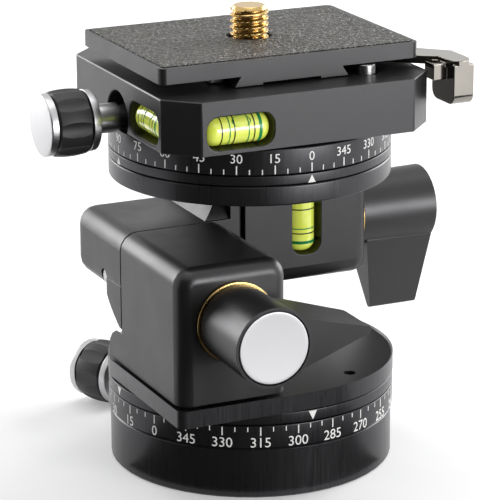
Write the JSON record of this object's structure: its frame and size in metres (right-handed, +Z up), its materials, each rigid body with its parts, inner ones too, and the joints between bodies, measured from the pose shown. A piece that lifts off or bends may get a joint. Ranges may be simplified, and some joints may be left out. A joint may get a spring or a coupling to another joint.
{
  "type": "tripod leveling head",
  "caption": "Two-axis tripod leveling head: panning base, crossed tilt blocks with lock levers, panning dovetail clamp and quick plate.",
  "frame": {"origin": "centre of the base's underside, on the lower pan axis", "axes": "+Z up along both pan axes, +X right along the pitch axis, -Y to the front along the roll axis"},
  "size_m": [0.1114, 0.1127, 0.115],
  "materials": {
    "turned_black": "turned, satin black anodised",
    "blasted_black": "bead blasted, black anodised",
    "grip_rubber": "moulded, satin",
    "pad_rubber": "leather grain, matte",
    "satin_silver": "turned, satin natural",
    "pale_cap": "fine blasted, pale silver",
    "chrome_lever": "polished",
    "steel": "turned",
    "brass": "polished",
    "vial": "clear acrylic, yellow-green fluid"
  },
  "bodies": {
    "base": {"base_disc": "turned_black", "base_scale_ring": "turned_black", "tripod_bush": "steel", "base_brake_pin": "brass"},
    "lower_knob": {"lower_knob_core": "satin_silver", "lower_knob_grip": "grip_rubber", "lower_knob_cap": "pale_cap", "lower_knob_screw": "steel"},
    "platform": {"platform_index_ring": "turned_black", "platform_plate": "turned_black", "platform_spindle": "steel", "front_housing": "blasted_black", "housing_screw_1": "steel", "housing_screw_2": "steel", "housing_screw_3": "steel", "housing_screw_4": "steel", "roll_washer": "brass"},
    "roll_lever": {"roll_lever": "blasted_black", "roll_lever_cap": "pale_cap"},
    "cross": {"cross_body": "blasted_black", "roll_axle": "steel", "pitch_axle": "steel", "roll_set_screw": "steel", "pitch_set_screw": "steel"},
    "tilt_head": {"upper_housing": "blasted_black", "upright_vial": "vial", "pitch_washer": "brass", "top_disc": "turned_black", "top_index_ring": "turned_black", "top_spindle": "steel", "disc_screw_1": "steel", "disc_screw_2": "steel", "disc_screw_3": "steel"},
    "pitch_lever": {"pitch_lever": "blasted_black", "pitch_lever_cap": "pale_cap"},
    "clamp": {"top_scale_ring": "turned_black", "clamp_body": "blasted_black", "front_vial": "vial", "side_vial": "vial", "fixed_jaw": "turned_black", "stop_pin": "steel", "lever_pivot": "steel", "top_brake_pin": "brass"},
    "upper_knob": {"upper_knob_core": "satin_silver", "upper_knob_grip": "grip_rubber", "upper_knob_cap": "pale_cap", "upper_knob_screw": "steel"},
    "clamp_lever": {"clamp_lever": "chrome_lever"},
    "moving_jaw": {"moving_jaw": "turned_black"},
    "plate": {"quick_plate": "blasted_black", "plate_pad": "pad_rubber"},
    "camera_screw": {"camera_screw": "brass"}
  },
  "joints": [
    {"name": "lower_knob_turn", "type": "hinge", "parent": "base", "child": "lower_knob", "pos_m": [-0.01787, 0.0413, 0.0085], "axis": [-0.3971, 0.9178, 0], "range_deg": [-180, 180]},
    {"name": "lower_pan", "type": "hinge", "parent": "base", "child": "platform", "pos_m": [0, 0, 0], "axis": [0, 0, 1], "continuous": true},
    {"name": "roll_tilt", "type": "hinge", "parent": "platform", "child": "cross", "pos_m": [-0.0202, 0, 0.0469], "axis": [0, 1, 0], "range_deg": [-12, 12]},
    {"name": "roll_lever_turn", "type": "hinge", "parent": "platform", "child": "roll_lever", "pos_m": [-0.0202, -0.0345, 0.0469], "axis": [0, 1, 0], "range_deg": [-75, 45]},
    {"name": "pitch_tilt", "type": "hinge", "parent": "cross", "child": "tilt_head", "pos_m": [0, 0.0159, 0.0543], "axis": [1, 0, 0], "range_deg": [-12, 12]},
    {"name": "pitch_lever_turn", "type": "hinge", "parent": "tilt_head", "child": "pitch_lever", "pos_m": [0.0343, 0.0159, 0.0543], "axis": [1, 0, 0], "range_deg": [-45, 75]},
    {"name": "upper_pan", "type": "hinge", "parent": "tilt_head", "child": "clamp", "pos_m": [0, 0, 0.081], "axis": [0, 0, 1], "continuous": true},
    {"name": "upper_knob_turn", "type": "hinge", "parent": "clamp", "child": "upper_knob", "pos_m": [-0.042, 0, 0.09067], "axis": [1, 0, 0], "range_deg": [-180, 180]},
    {"name": "clamp_lever_swing", "type": "hinge", "parent": "clamp", "child": "clamp_lever", "pos_m": [0.025, -0.005, 0.10105], "axis": [0, 0, 1], "range_deg": [0, 75]},
    {"name": "jaw_slide", "type": "slide", "parent": "clamp", "child": "moving_jaw", "axis": [1, 0, 0], "range_m": [0, 0.0008]},
    {"name": "plate_slide", "type": "slide", "parent": "clamp", "child": "plate", "axis": [0, -1, 0], "range_m": [0, 0.052]},
    {"name": "camera_screw_turn", "type": "hinge", "parent": "plate", "child": "camera_screw", "pos_m": [0, 0, 0.1073], "axis": [0, 0, 1], "continuous": true}
  ],
  "couplings": [
    {"joint": "jaw_slide", "follows": "clamp_lever_swing", "m_per_rad": 0.0006}
  ]
}
